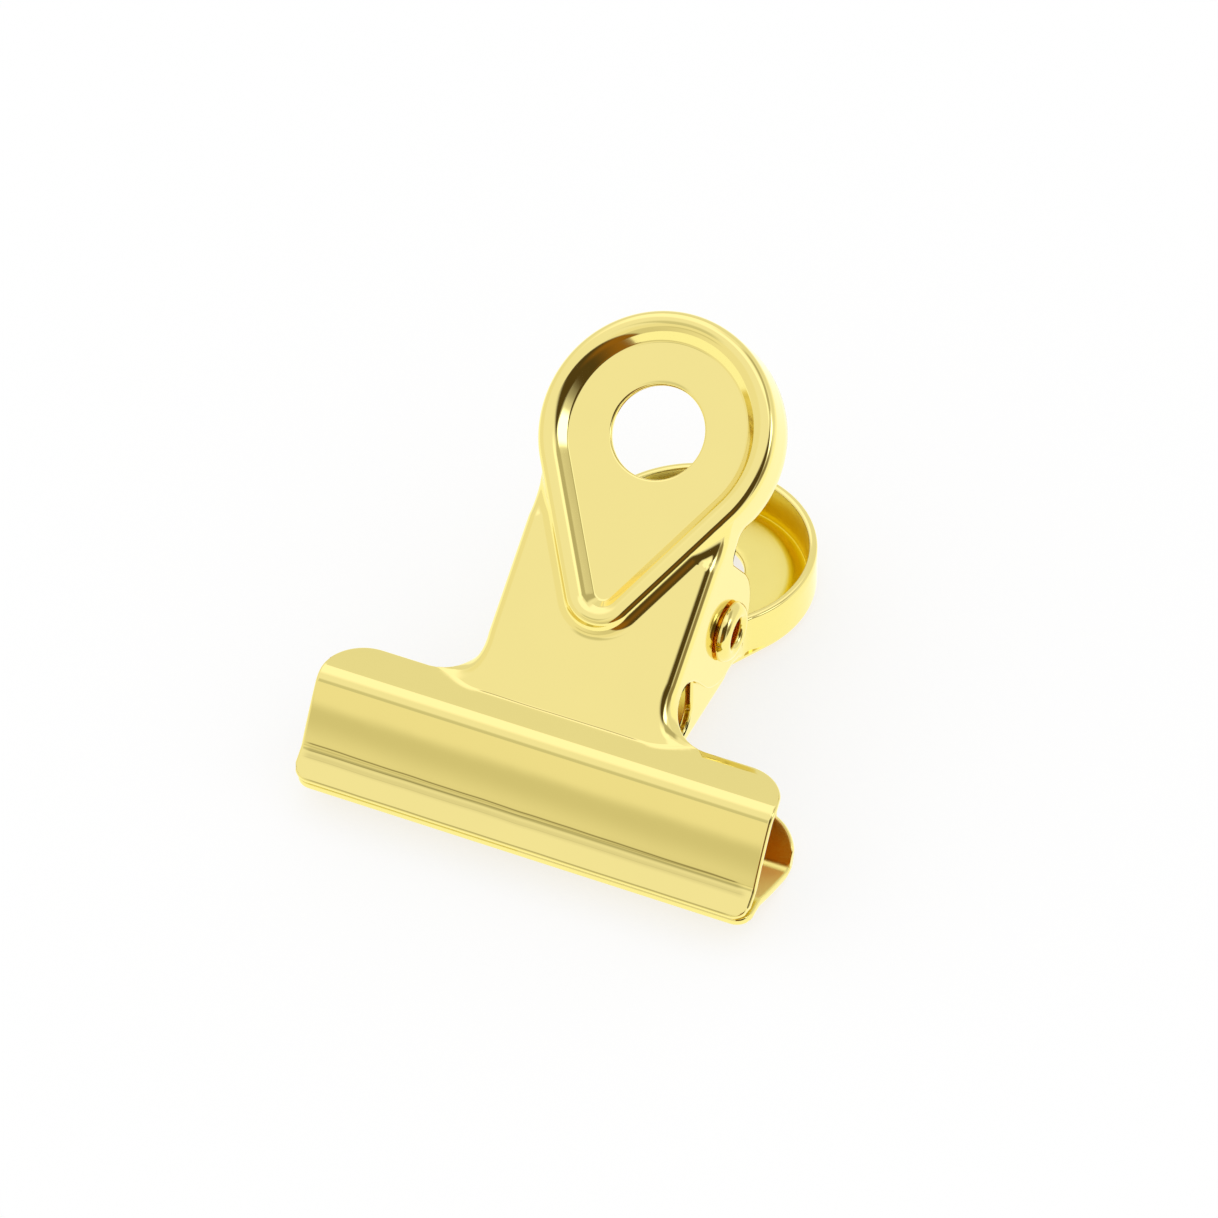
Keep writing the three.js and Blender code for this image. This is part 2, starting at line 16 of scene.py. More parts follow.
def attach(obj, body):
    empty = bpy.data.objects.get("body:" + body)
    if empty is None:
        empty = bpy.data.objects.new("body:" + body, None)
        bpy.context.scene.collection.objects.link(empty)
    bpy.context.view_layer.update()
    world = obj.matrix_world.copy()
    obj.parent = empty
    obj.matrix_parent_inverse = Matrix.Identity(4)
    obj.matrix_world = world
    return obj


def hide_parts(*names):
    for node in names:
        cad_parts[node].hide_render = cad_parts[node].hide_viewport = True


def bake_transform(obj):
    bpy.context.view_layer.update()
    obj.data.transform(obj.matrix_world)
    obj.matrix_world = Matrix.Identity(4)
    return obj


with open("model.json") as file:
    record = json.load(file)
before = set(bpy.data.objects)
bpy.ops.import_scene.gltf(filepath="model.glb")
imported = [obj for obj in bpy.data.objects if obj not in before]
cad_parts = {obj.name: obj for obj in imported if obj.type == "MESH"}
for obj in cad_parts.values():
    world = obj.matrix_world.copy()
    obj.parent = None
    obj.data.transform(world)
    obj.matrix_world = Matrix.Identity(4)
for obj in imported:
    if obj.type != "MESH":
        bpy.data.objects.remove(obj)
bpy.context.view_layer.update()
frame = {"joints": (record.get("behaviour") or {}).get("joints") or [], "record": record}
record = frame["record"]
bpy.context.scene.view_settings.view_transform = "Standard"
mounts = {mount["name"]: mount for mount in record["mounts"]}
hinge = frame["joints"][0]
pivot = Vector(hinge["pos_m"])

# Inside a closed jaw, light goes back and forth between gold walls.
bpy.context.scene.cycles.glossy_bounces = 16
bpy.context.scene.cycles.max_bounces = 20

MM = 0.001
QUARTER = math.pi / 2
HALVINGS = 40

# The sheet and the neck
SHEET = 0.35 * MM
BEND_RADIUS = 0.55 * MM
PIVOT_TO_PLATE = 4.2 * MM
LEVER_TILT = math.radians(19.2)
NECK_WIDTH = 8.32 * MM
REAR_NECK_WIDTH = 7.32 * MM

# The ears, the collar that the rim starts as beside the jaw, and the foot of each ear, which
# rises from it. The rear lever has a shallower collar and a lower foot than the front one. The
# rim's soft start takes RIM_EASE of its way to the ear's top.
FRONT_EAR_RADIUS = 2.45 * MM
REAR_EAR_RADIUS = 2.3 * MM
MOST_EAR_FILLET = 0.6 * MM
LEAST_GAP = 0.01 * MM
FRONT_FOOT_HEIGHT = 2.05 * MM
REAR_FOOT_HEIGHT = 1.3 * MM
FRONT_COLLAR_DEPTH = 1.17 * MM
REAR_COLLAR_DEPTH = 0.9 * MM
RIM_EASE = 0.04
PIN_HOLE_RADIUS = 1.0 * MM

# The thumb tab
HOLE_ABOVE_PIVOT = 6.45 * MM
HOLE_RADIUS = 1.94 * MM
FLOOR_RADIUS = 3.65 * MM
FLOOR_LEVEL = -0.05 * MM
TIP_DROP = 6.75 * MM
TIP_RADIUS = 0.31 * MM
BEAD_WIDTH = 1.3 * MM
TAB_RADIUS = FLOOR_RADIUS + BEAD_WIDTH
NECK_FILLET = 1.0 * MM
RIM_DEPTH = 1.86 * MM
BEAD_HEIGHT = 0.41 * MM
BEAD_FOOT_RADIUS = 0.2 * MM
BEAD_INNER_RADIUS = 0.8 * MM
SHOULDER_RADIUS = 0.4 * MM
BEAD_OUTER_RADIUS = 0.75 * MM

# The part of the tab's floor that a strip of the mesh along each of its edges takes
FLOOR_STRIP = 0.15

# The jaw
JAW_WIDTH = 20 * MM
CREASE_BELOW_PIVOT = 5.62 * MM
CREASE_FILLET = 0.25 * MM
WING_RISE = 0.55 * MM
FLANGE_LENGTH = 1.2 * MM
FLANGE_ANGLE = math.radians(40)
BULGE_RADIUS = 0.9 * MM
FACE_LENGTH = 2.6 * MM
FACE_RADIUS = 21 * MM
LIP_BEND_RADIUS = 0.6 * MM
LIP_LENGTH = 1.2 * MM
LIP_ANGLE = math.radians(2)
LIP_GAP = 0.02 * MM
MOST_LEAN = math.radians(75)
WING_CORNER = 1.85 * MM
LIP_CORNER = 0.7 * MM
WING_FILLET = 1.95 * MM

# The edges that the press leaves on the sheet: how they are rounded, the strip of the mesh that
# runs along them, the most of a narrow place that the strip takes, and how far the last column
# of points stays clear of the jaw's end.
EDGE_ROUNDING = 0.11 * MM
EDGE_STEPS = 3
EDGE_ANGLE = math.radians(50)
EDGE_STRIP = 0.15 * MM
STRIP_SHARE = 1 / 3
EDGE_CLEARANCE = 1.1 * EDGE_ROUNDING

# Points of the mesh that are closer than this are one point, and shorter edges go.
WELD = 0.004 * MM
SHORTEST_EDGE = 0.002 * MM

# The steps that each stretch of a lever is drawn in
BEAD_FOOT_STEPS = 5
BEAD_INNER_STEPS = 7
SHOULDER_STEPS = 12
BEAD_OUTER_STEPS = 9
FOLD_STEPS = 12
WALL_STEPS = 3
NECK_STEPS = 24
ROOT_STEPS = 10
EAR_ROOT_STEPS = 40
NECK_FILLET_STEPS = 16
TAB_STEPS = 72
EAR_FOOT_STEPS = 16
EAR_STEPS = 48
EAR_FILLET_STEPS = 12
PIN_HOLE_STEPS = 48
CREASE_STEPS = 6
WING_STEPS = 12
CORNER_STEPS = 24
FLANGE_STEPS = 4
BULGE_STEPS = 14
FACE_STEPS = 10
LIP_BEND_STEPS = 8
LIP_STEPS = 8


def spread(start, end, steps):
    """Values from start to end in equal steps, both ends included."""
    return [start + (end - start) * i / steps for i in range(steps + 1)]


def crossing(fall, low, high):
    """Where a function that falls as its argument grows crosses zero."""
    for _ in range(HALVINGS):
        middle = (low + high) / 2
        if fall(middle) > 0:
            low = middle
        else:
            high = middle
    return (low + high) / 2


# The bead's slopes follow from its height, its width and its radii.
CREST_OFFSET = BEAD_WIDTH - SHOULDER_RADIUS
INNER_RISE = BEAD_HEIGHT - FLOOR_LEVEL
INNER_RADII = BEAD_FOOT_RADIUS + BEAD_INNER_RADIUS
INNER_LEFT = INNER_RADII - INNER_RISE
INNER_TURN = math.asin(INNER_RADII / math.hypot(CREST_OFFSET, INNER_LEFT))
INNER_SLOPE = INNER_TURN - math.atan2(INNER_LEFT, CREST_OFFSET)
OUTER_SLOPE = math.acos(1 - BEAD_HEIGHT / (SHOULDER_RADIUS + BEAD_OUTER_RADIUS))

# Half the angle between the two straight sides of the drop
DROP_ANGLE = math.asin((FLOOR_RADIUS - TIP_RADIUS) / TIP_DROP)


def floor_edge(point):
    """The point of the drop-shaped floor's outline nearest to a point, and the way out of it."""
    centre = Vector((0, HOLE_ABOVE_PIVOT))
    tip = Vector((0, HOLE_ABOVE_PIVOT - TIP_DROP))
    reach = (point - centre).dot(Vector((-math.sin(DROP_ANGLE), -math.cos(DROP_ANGLE))))
    if reach < 0:
        out = (point - centre).normalized()
        return out, centre + out * FLOOR_RADIUS
    if reach > TIP_DROP * math.cos(DROP_ANGLE):
        out = (point - tip).normalized()
        return out, tip + out * TIP_RADIUS
    out = Vector((math.cos(DROP_ANGLE), -math.sin(DROP_ANGLE)))
    return out, point - out * ((point - centre).dot(out) - FLOOR_RADIUS)


def bead_slopes(share):
    """The bead's steepest outer slope and the last one: 0 runs into the rim, 1 lies flat."""
    steepest = QUARTER + (OUTER_SLOPE - QUARTER) * share
    return steepest, steepest * (1 - share)


def bead_end(steepest, last):
    """How far from the floor's edge the bead reaches."""
    outer = BEAD_OUTER_RADIUS * (math.sin(steepest) - math.sin(last))
    return CREST_OFFSET + SHOULDER_RADIUS * math.sin(steepest) + outer


def bead_section(steepest, last):
    """The bead's section from the floor outwards, as offsets and levels."""
    section = []
    straight = (CREST_OFFSET - INNER_RADII * math.sin(INNER_SLOPE)) / math.cos(INNER_SLOPE)
    for turn in spread(0, INNER_SLOPE, BEAD_FOOT_STEPS):
        offset = BEAD_FOOT_RADIUS * math.sin(turn)
        section.append((offset, FLOOR_LEVEL + BEAD_FOOT_RADIUS * (1 - math.cos(turn))))
    foot_offset, foot_level = section[-1]
    for turn in spread(INNER_SLOPE, 0, BEAD_INNER_STEPS):
        along = BEAD_INNER_RADIUS * (math.sin(INNER_SLOPE) - math.sin(turn))
        rise = BEAD_INNER_RADIUS * (math.cos(turn) - math.cos(INNER_SLOPE))
        offset = foot_offset + straight * math.cos(INNER_SLOPE) + along
        section.append((offset, foot_level + straight * math.sin(INNER_SLOPE) + rise))
    for turn in spread(0, steepest, SHOULDER_STEPS)[1:]:
        drop = SHOULDER_RADIUS * (1 - math.cos(turn))
        section.append((CREST_OFFSET + SHOULDER_RADIUS * math.sin(turn), BEAD_HEIGHT - drop))
    shoulder_offset, shoulder_level = section[-1]
    for turn in spread(steepest, last, BEAD_OUTER_STEPS)[1:]:
        along = BEAD_OUTER_RADIUS * (math.sin(steepest) - math.sin(turn))
        drop = BEAD_OUTER_RADIUS * (math.cos(turn) - math.cos(steepest))
        section.append((shoulder_offset + along, shoulder_level - drop))
    return section


def plate_section(end, share=1):
    """One section of the plate, from the floor's edge through the bead to a point."""
    steepest, last = bead_slopes(share)
    out, foot = floor_edge(end)
    points = []
    for offset, level in bead_section(steepest, last):
        place = foot + out * offset
        points.append(Vector((place.x, place.y, level)))
    level = points[-1].z
    points.append(Vector((end.x, end.y, level)))
    return {"points": points, "slope": last, "level": level}


def folded_section(wall, facing):
    """One section of the plate that ends where the fold to a wall begins."""

    def fold_start(share):
        return wall - facing * BEND_RADIUS * (1 - math.sin(bead_slopes(share)[1]))

    def room(share):
        start = fold_start(share)
        return (start - floor_edge(start)[1]).length - bead_end(*bead_slopes(share))

    share = 1 if room(1) >= 0 else crossing(room, 0, 1)
    return {**plate_section(fold_start(share), share), "facing": facing, "wall": wall}


def fold_section(fold, depth):
    """The fold of one section: a bend to square, and a wall down to the rim."""
    wall, facing, slope, level = (fold[key] for key in ("wall", "facing", "slope", "level"))
    points = []
    for turn in spread(slope, QUARTER, FOLD_STEPS):
        place = wall - facing * BEND_RADIUS * (1 - math.sin(turn))
        drop = BEND_RADIUS * (math.cos(slope) - math.cos(turn))
        points.append(Vector((place.x, place.y, level - drop)))
    bottom = points[-1].z
    for z in spread(bottom, -depth, WALL_STEPS)[1:]:
        points.append(Vector((wall.x, wall.y, z)))
    return points


def jaw_chain(face_angle):
    """The jaw's section from the crease down: the curvature and the length of each stretch."""
    face_end = face_angle - FACE_LENGTH / FACE_RADIUS
    return [
        (0, FLANGE_LENGTH),
        (1 / BULGE_RADIUS, BULGE_RADIUS * (FLANGE_ANGLE - face_angle)),
        (1 / FACE_RADIUS, FACE_LENGTH),
        (-1 / LIP_BEND_RADIUS, LIP_BEND_RADIUS * (LIP_ANGLE - face_end)),
        (0, LIP_LENGTH),
    ]


def chain_point(chain, length):
    """A point of the section at a length below the crease, and the way that it faces."""
    y, z, angle = -CREASE_BELOW_PIVOT, 0, FLANGE_ANGLE
    left = length
    for curvature, whole in chain:
        step = min(left, whole)
        turned = angle - curvature * step
        if curvature:
            y -= (math.sin(angle) - math.sin(turned)) / curvature
            z += (math.cos(turned) - math.cos(angle)) / curvature
        else:
            y -= step * math.cos(angle)
            z += step * math.sin(angle)
        angle = turned
        left -= step
        if left <= 0:
            break
    return y, z, angle


def chain_ends(chain):
    """The length below the crease at which each stretch of the section ends."""
    ends = [0]
    for _, length in chain:
        ends.append(ends[-1] + length)
    return ends


def lip_room(lean):
    """What is left between a leaning jaw's lip and the other lip."""
    chain = jaw_chain(-lean)
    y, z, angle = chain_point(chain, chain_ends(chain)[-1])
    inner_y = y - SHEET * math.sin(angle)
    inner_z = z - SHEET * math.cos(angle) + PIVOT_TO_PLATE
    return inner_y * math.sin(LEVER_TILT) + inner_z * math.cos(LEVER_TILT) - LIP_GAP / 2


JAW = jaw_chain(-crossing(lip_room, -FLANGE_ANGLE, MOST_LEAN))
JAW_ENDS = [end + WING_RISE for end in chain_ends(JAW)]
BULGE_START, BULGE_END, FACE_END, BEND_END, JAW_LENGTH = JAW_ENDS[1:]

# As a length down the jaw, a place above the top of the thumb tab
ABOVE_TAB = -25 * MM


def jaw_point(length):
    """The jaw's section along its length, from the wing's free edge."""
    return chain_point(JAW, length - WING_RISE)


# Where the plate ends at the crease, and where the rim's collar starts beside the jaw
CREASE_REACH = CREASE_FILLET * math.tan(FLANGE_ANGLE / 2)
PLATE_END = -CREASE_BELOW_PIVOT + CREASE_REACH
COLLAR_FOOT = jaw_point(0)[0] + WING_FILLET


def jaw_length(y):
    """How far down the jaw's section a point of a lever is, from its height on the lever."""
    return crossing(lambda length: jaw_point(length)[0] - y, ABOVE_TAB, JAW_LENGTH)


def shares(points):
    """How far along a line of points each point lies, from 0 to 1."""
    lengths = [0]
    for before, after in zip(points, points[1:]):
        lengths.append(lengths[-1] + (after - before).length)
    return [length / lengths[-1] for length in lengths]


def fill_between(left, right, inner, outer):
    """Rows of points that fill a four-sided area between its edges."""
    rows = []
    for u, left_point, right_point in zip(shares(right), left, right):
        row = []
        for v, inner_point, outer_point in zip(shares(inner), inner, outer):
            point = left_point * (1 - v) + right_point * v + inner_point * (1 - u) + outer_point * u
            point = point - left[0] * (1 - u) * (1 - v) - right[0] * (1 - u) * v
            row.append(point - left[-1] * u * (1 - v) - right[-1] * u * v)
        rows.append(row)
    return rows


def transpose(rows):
    return [list(column) for column in zip(*rows)]


def moved_in(loop, distances):
    """An anticlockwise loop of points, each moved towards the inside by its own distance."""
    moved = []
    earlier, later = loop[-1:] + loop[:-1], loop[1:] + loop[:1]
    for before, point, after, distance in zip(earlier, loop, later, distances):
        chord = (after - before).normalized()
        moved.append(point + Vector((-chord.y, chord.x)) * distance)
    return moved


class Skin:
    """An open surface, made of grids and flat areas that share their edges."""

    def __init__(self):
        self.mesh = bmesh.new()

    def face(self, points):
        self.mesh.faces.new([self.mesh.verts.new(point) for point in points])

    def grid(self, rows):
        verts = [[self.mesh.verts.new(point) for point in row] for row in rows]
        for low, high in zip(verts, verts[1:]):
            for j in range(len(low) - 1):
                self.mesh.faces.new((low[j], high[j], high[j + 1], low[j + 1]))

    def flat(self, outline, strips, hole, place):
        """Fills between an anticlockwise outline and a hole, with a strip of quads along each."""
        inner, outer = moved_in(outline, strips), moved_in(hole, [-EDGE_STRIP] * len(hole))
        for far, near in ((outline, inner), (outer, hole)):
            self.grid([[place(point) for point in [*loop, loop[0]]] for loop in (near, far)])
        corners = inner + outer
        loops = [[Vector((point.x, point.y, 0)) for point in loop] for loop in (inner, outer)]
        for triangle in tessellate_polygon(loops):
            a, b, c = (corners[index] for index in triangle)
            if (b - a).cross(c - b) < 0:
                a, c = c, a
            self.face([place(a), place(b), place(c)])


def folded_outline(half, ear_radius):
    """The sections that end in a fold: up the neck, round its fillet, and round the tab.

    It also gives the radius of the ear's fillet, for which the neck may leave little room.
    """
    filleted = half + NECK_FILLET
    fillet_drop = math.sqrt((TAB_RADIUS + NECK_FILLET) ** 2 - filleted**2)
    fillet_centre = Vector((filleted, HOLE_ABOVE_PIVOT - fillet_drop))
    fillet_angle = math.atan2(fillet_drop, filleted)
    ear_fillet = min(MOST_EAR_FILLET, fillet_centre.y - ear_radius)
    ear_top = ear_radius + ear_fillet
    ear_rows = spread(COLLAR_FOOT, ear_top, EAR_ROOT_STEPS)

    # Where the ear's top meets the neck's fillet, the fillet's first row is the ear's last.
    if fillet_centre.y - ear_top < LEAST_GAP:
        ear_rows.pop()
    folds = [folded_section(Vector((half, y)), Vector((1, 0))) for y in ear_rows]
    for turn in spread(0, fillet_angle, NECK_FILLET_STEPS):
        facing = Vector((math.cos(turn), -math.sin(turn)))
        folds.append(folded_section(fillet_centre - facing * NECK_FILLET, facing))
    tab_centre = Vector((0, HOLE_ABOVE_PIVOT))
    for turn in spread(-fillet_angle, QUARTER, TAB_STEPS)[1:]:
        facing = Vector((math.cos(turn), math.sin(turn)))
        folds.append(folded_section(tab_centre + facing * TAB_RADIUS, facing))
    return folds, ear_fillet


def rim_depth(y, ear_top, collar_depth):
    """The rim deepens softly from the collar, and has its full depth from the ear's top on."""
    share = min(1, max(0, (y - COLLAR_FOOT) / (ear_top - COLLAR_FOOT)))
    eased = share**2 * (1 + RIM_EASE) / (share + RIM_EASE)
    return collar_depth + (RIM_DEPTH - collar_depth) * eased


def floor_row(edge):
    """From the hanging hole out to a point of the floor's edge, with a narrow strip at each."""
    turn = math.atan2(edge.y - HOLE_ABOVE_PIVOT, edge.x)
    x, y = HOLE_RADIUS * math.cos(turn), HOLE_RADIUS * math.sin(turn)
    rim = Vector((x, HOLE_ABOVE_PIVOT + y, FLOOR_LEVEL))
    return [rim, rim.lerp(edge, FLOOR_STRIP), edge.lerp(rim, FLOOR_STRIP), edge]


def ear_outline(root, ear_radius, ear_fillet, foot_height, collar_depth):
    """The ear, anticlockwise: its root on the rim, its foot, its round end and its fillet."""
    outline = root[:]
    foot_start = -collar_depth - foot_height
    for turn in spread(QUARTER, 0, EAR_FOOT_STEPS)[1:]:
        y = COLLAR_FOOT - (COLLAR_FOOT + ear_radius) * math.cos(turn)
        outline.append(Vector((y, foot_start + foot_height * math.sin(turn))))
    for turn in spread(-math.pi, 0, EAR_STEPS):
        z = -PIVOT_TO_PLATE + ear_radius * math.sin(turn)
        outline.append(Vector((ear_radius * math.cos(turn), z)))
    for turn in spread(math.pi, QUARTER, EAR_FILLET_STEPS)[:-1]:
        y = ear_radius + ear_fillet + ear_fillet * math.cos(turn)
        z = -RIM_DEPTH - ear_fillet + ear_fillet * math.sin(turn)
        outline.append(Vector((y, z)))
    return outline


def edge_strips(outline, root):
    """Widths of the strip along the ear, which narrows to nothing where it runs into the rim."""
    first, last = root[0], root[-1]
    strips = []
    for point in outline:
        share = min(1, max(0, (point.x - last.x) / (first.x - last.x)))
        below = last.y + (first.y - last.y) * share - point.y
        strips.append(min(EDGE_STRIP, max(0, below * STRIP_SHARE)))
    return strips


def pin_hole():
    """The ear's hole for the rivet, anticlockwise."""
    hole = []
    for turn in spread(0, 2 * math.pi, PIN_HOLE_STEPS)[1:]:
        z = -PIVOT_TO_PLATE + PIN_HOLE_RADIUS * math.sin(turn)
        hole.append(Vector((PIN_HOLE_RADIUS * math.cos(turn), z)))
    return hole


def jaw_columns(half, neck_columns, fold_end):
    """The jaw's columns: how far across each one is, and where it starts and ends down the jaw."""
    fold_line = half - BEND_RADIUS
    wing_foot = half + WING_FILLET
    crease_end = WING_RISE + CREASE_REACH
    columns = [(x, crease_end, JAW_LENGTH) for x in neck_columns]
    for share in shares(fold_end)[1:]:
        ease = (1 + math.cos(math.pi * share)) / 2
        x = fold_line + (wing_foot - fold_line) * share
        columns.append((x, crease_end * ease, JAW_LENGTH))
    half_jaw = JAW_WIDTH / 2
    corner = max(WING_CORNER, LIP_CORNER)
    for x in spread(wing_foot, half_jaw - corner, WING_STEPS)[1:]:
        columns.append((x, 0, JAW_LENGTH))

    def rounding(radius, x):
        past = max(0, x - (half_jaw - radius))
        return radius - math.sqrt(max(0, radius**2 - past**2))

    corner_turns = spread(0, QUARTER, CORNER_STEPS)[1:]
    corner_columns = [half_jaw - corner * (1 - math.sin(turn)) for turn in corner_turns]
    for x in [x for x in corner_columns if half_jaw - x > EDGE_CLEARANCE] + [half_jaw]:
        columns.append((x, rounding(WING_CORNER, x), JAW_LENGTH - rounding(LIP_CORNER, x)))
    return columns


def jaw_column(x, top, end):
    """One column of the jaw's points, from its top down to its end."""
    lengths = spread(top, max(top, BULGE_START), FLANGE_STEPS)[:-1]
    lengths += spread(BULGE_START, BULGE_END, BULGE_STEPS)
    lengths += spread(BULGE_END, FACE_END, FACE_STEPS)[1:]
    lengths += spread(FACE_END, BEND_END, LIP_BEND_STEPS)[1:]
    lengths += spread(BEND_END, end, LIP_STEPS)[1:]
    return [Vector((x, *jaw_point(max(top, length))[:2])) for length in lengths]


def quarter_curve(start, end, places):
    """Points of a cubic curve that is a quarter circle: the wing's fillet, seen from its face."""
    pull = WING_FILLET * 4 / 3 * (math.sqrt(2) - 1)
    early = start - Vector((pull, 0, 0))
    late = end - Vector((0, pull, 0))
    points = []
    for t in places:
        point = start * (1 - t) ** 3 + early * 3 * t * (1 - t) ** 2
        points.append(point + late * 3 * t**2 * (1 - t) + end * t**3)
    return points


def half_skin(skin, width, ear_radius, foot_height, collar_depth):
    """The right half of a lever's outer skin."""
    half = width / 2
    fold_line = half - BEND_RADIUS

    # The plate, from the floor's edge to the crease, the stretch beside it that has no fold, and
    # the folds
    neck_columns = spread(0, fold_line, NECK_STEPS)
    crease_sections = [plate_section(Vector((x, PLATE_END))) for x in neck_columns]
    root_rows = spread(PLATE_END, COLLAR_FOOT, ROOT_STEPS)[1:]
    root_sections = [plate_section(Vector((fold_line, y))) for y in root_rows]
    folds, ear_fillet = folded_outline(half, ear_radius)
    sections = crease_sections + root_sections + folds[1:]
    skin.grid(transpose([section["points"] for section in sections]))

    # The folds with their rim, and the floor with half of the hanging hole
    ear_top = ear_radius + ear_fillet
    fold_columns = []
    for fold in folds:
        depth = rim_depth(fold["wall"].y, ear_top, collar_depth)
        fold_columns.append(fold_section(fold, depth))
    skin.grid(transpose(fold_columns))
    skin.grid(transpose([floor_row(section["points"][0]) for section in sections]))

    # The ear, which hangs from the rim of the neck's wall
    wall_feet = [column[-1] for column in fold_columns[: EAR_ROOT_STEPS + 1]]
    root = [Vector((point.y, point.z)) for point in reversed(wall_feet)]
    outline = ear_outline(root, ear_radius, ear_fillet, foot_height, collar_depth)
    strips = edge_strips(outline, root)
    skin.flat(outline, strips, pin_hole(), lambda point: Vector((half, point.x, point.y)))

    # The crease between the plate and the jaw's flange
    crease_rows = []
    for turn in spread(0, FLANGE_ANGLE, CREASE_STEPS):
        y = PLATE_END - CREASE_FILLET * math.sin(turn)
        crease_rows.append((y, CREASE_FILLET * (1 - math.cos(turn))))
    skin.grid([[Vector((x, y, z)) for x in neck_columns] for y, z in crease_rows])

    # The jaw
    fold_end = fold_columns[0]
    jaw_grid = [jaw_column(*column) for column in jaw_columns(half, neck_columns, fold_end)]
    skin.grid(transpose(jaw_grid))

    # The root of the wing, between the plate, the fold's end and the jaw
    wing_edge = [column[0] for column in jaw_grid[NECK_STEPS : NECK_STEPS + len(fold_end)]]
    plate_side = [Vector((fold_line, y, z)) for y, z in reversed(crease_rows)]
    plate_side += [section["points"][-1] for section in root_sections]
    free_edge = quarter_curve(wing_edge[-1], fold_end[-1], shares(plate_side))
    skin.grid(fill_between(wing_edge, fold_end, plate_side, free_edge))


def lever_placement(out, side):
    """Turns a lever's own frame into the clip's: out is its face, side the way its x points."""
    along = out.cross(side)
    turned = Matrix((side, along, out)).transposed()
    return Matrix.Translation(pivot) @ turned.to_4x4() @ Matrix.Translation((0, 0, PIVOT_TO_PLATE))


def finished(name, shape, slots=0):
    """A new object in the scene, with empty slots for its materials."""
    mesh = bpy.data.meshes.new(name)
    shape.to_mesh(mesh)
    shape.free()
    for _ in range(slots):
        mesh.materials.append(None)
    piece = bpy.data.objects.new(name, mesh)
    bpy.context.scene.collection.objects.link(piece)
    return piece


def apply_modifiers(piece):
    depsgraph = bpy.context.evaluated_depsgraph_get()
    mesh = bpy.data.meshes.new_from_object(piece.evaluated_get(depsgraph))
    piece.modifiers.clear()
    piece.data = mesh


def smooth(piece):
    """Shades a piece smoothly, except across its sharp edges."""
    piece.data.polygons.foreach_set("use_smooth", [True] * len(piece.data.polygons))
    piece.data.set_sharp_from_angle(angle=EDGE_ANGLE)
    weighted = piece.modifiers.new("normals", "WEIGHTED_NORMAL")
    weighted.mode = "FACE_AREA"
    weighted.keep_sharp = True
    apply_modifiers(piece)


def make_lever(name, placement, *sizes):
    """A whole lever of sheet metal, from the right half of its outer skin."""
    skin = Skin()
    half_skin(skin, *sizes)
    right_half = skin.mesh.verts[:] + skin.mesh.edges[:] + skin.mesh.faces[:]
    left_half = bmesh.ops.duplicate(skin.mesh, geom=right_half)["geom"]
    for item in left_half:
        if isinstance(item, bmesh.types.BMVert):
            item.co.x = -item.co.x
    faces = [item for item in left_half if isinstance(item, bmesh.types.BMFace)]
    bmesh.ops.reverse_faces(skin.mesh, faces=faces)
    bmesh.ops.remove_doubles(skin.mesh, verts=skin.mesh.verts, dist=WELD)
    bmesh.ops.dissolve_degenerate(skin.mesh, dist=SHORTEST_EDGE, edges=skin.mesh.edges)

    # Only the cut edges of the sheet are rounded.
    rounded = skin.mesh.edges.layers.float.new("bevel_weight_edge")
    for edge in skin.mesh.edges:
        edge[rounded] = 1 if edge.is_boundary else 0

    # The material places its painted shade lines and painted hollow shade by how far across and down
    # the jaw a point is.
    across = skin.mesh.verts.layers.float.new("across")
    down = skin.mesh.verts.layers.float.new("down")
    for vert in skin.mesh.verts:
        vert[across] = vert.co.x
        vert[down] = jaw_length(vert.co.y)
    skin.mesh.transform(placement)
    piece = finished(name, skin.mesh, slots=2)

    # The sheet grows inwards from its outer skin, and its inside takes the second material.
    solid = piece.modifiers.new("sheet", "SOLIDIFY")
    solid.thickness = SHEET
    solid.offset = -1
    solid.use_even_offset = True
    solid.use_quality_normals = True
    solid.material_offset = 1
    edges = piece.modifiers.new("edges", "BEVEL")
    edges.width = EDGE_ROUNDING
    edges.segments = EDGE_STEPS
    edges.limit_method = "WEIGHT"
    edges.use_clamp_overlap = False
    apply_modifiers(piece)
    smooth(piece)
    return piece


front_out = Vector(mounts["front_neck"]["axis"])
rear_out = Vector(mounts["rear_tab"]["axis"])
right = Vector((1, 0, 0))
front_placement = lever_placement(front_out, right)
rear_placement = lever_placement(rear_out, -right)
front_sizes = (NECK_WIDTH, FRONT_EAR_RADIUS, FRONT_FOOT_HEIGHT, FRONT_COLLAR_DEPTH)
rear_sizes = (REAR_NECK_WIDTH, REAR_EAR_RADIUS, REAR_FOOT_HEIGHT, REAR_COLLAR_DEPTH)
front_lever = make_lever("front_lever_sheet", front_placement, *front_sizes)
rear_lever = make_lever("rear_lever_sheet", rear_placement, *rear_sizes)

# The rivet, a tube with both ends rolled over
SHANK_RADIUS = 0.9 * MM
BORE_RADIUS = 0.62 * MM
RIVET_HEAD_RADIUS = 1.28 * MM
RIVET_HEAD_THICKNESS = 0.42 * MM
RIVET_CREST_RADIUS = 0.86 * MM
RIVET_HEAD_GAP = 0.1 * MM
SHANK_STEPS = 8
HEAD_STEPS = 14
THROAT_STEPS = 12
RIVET_SIDES = 72


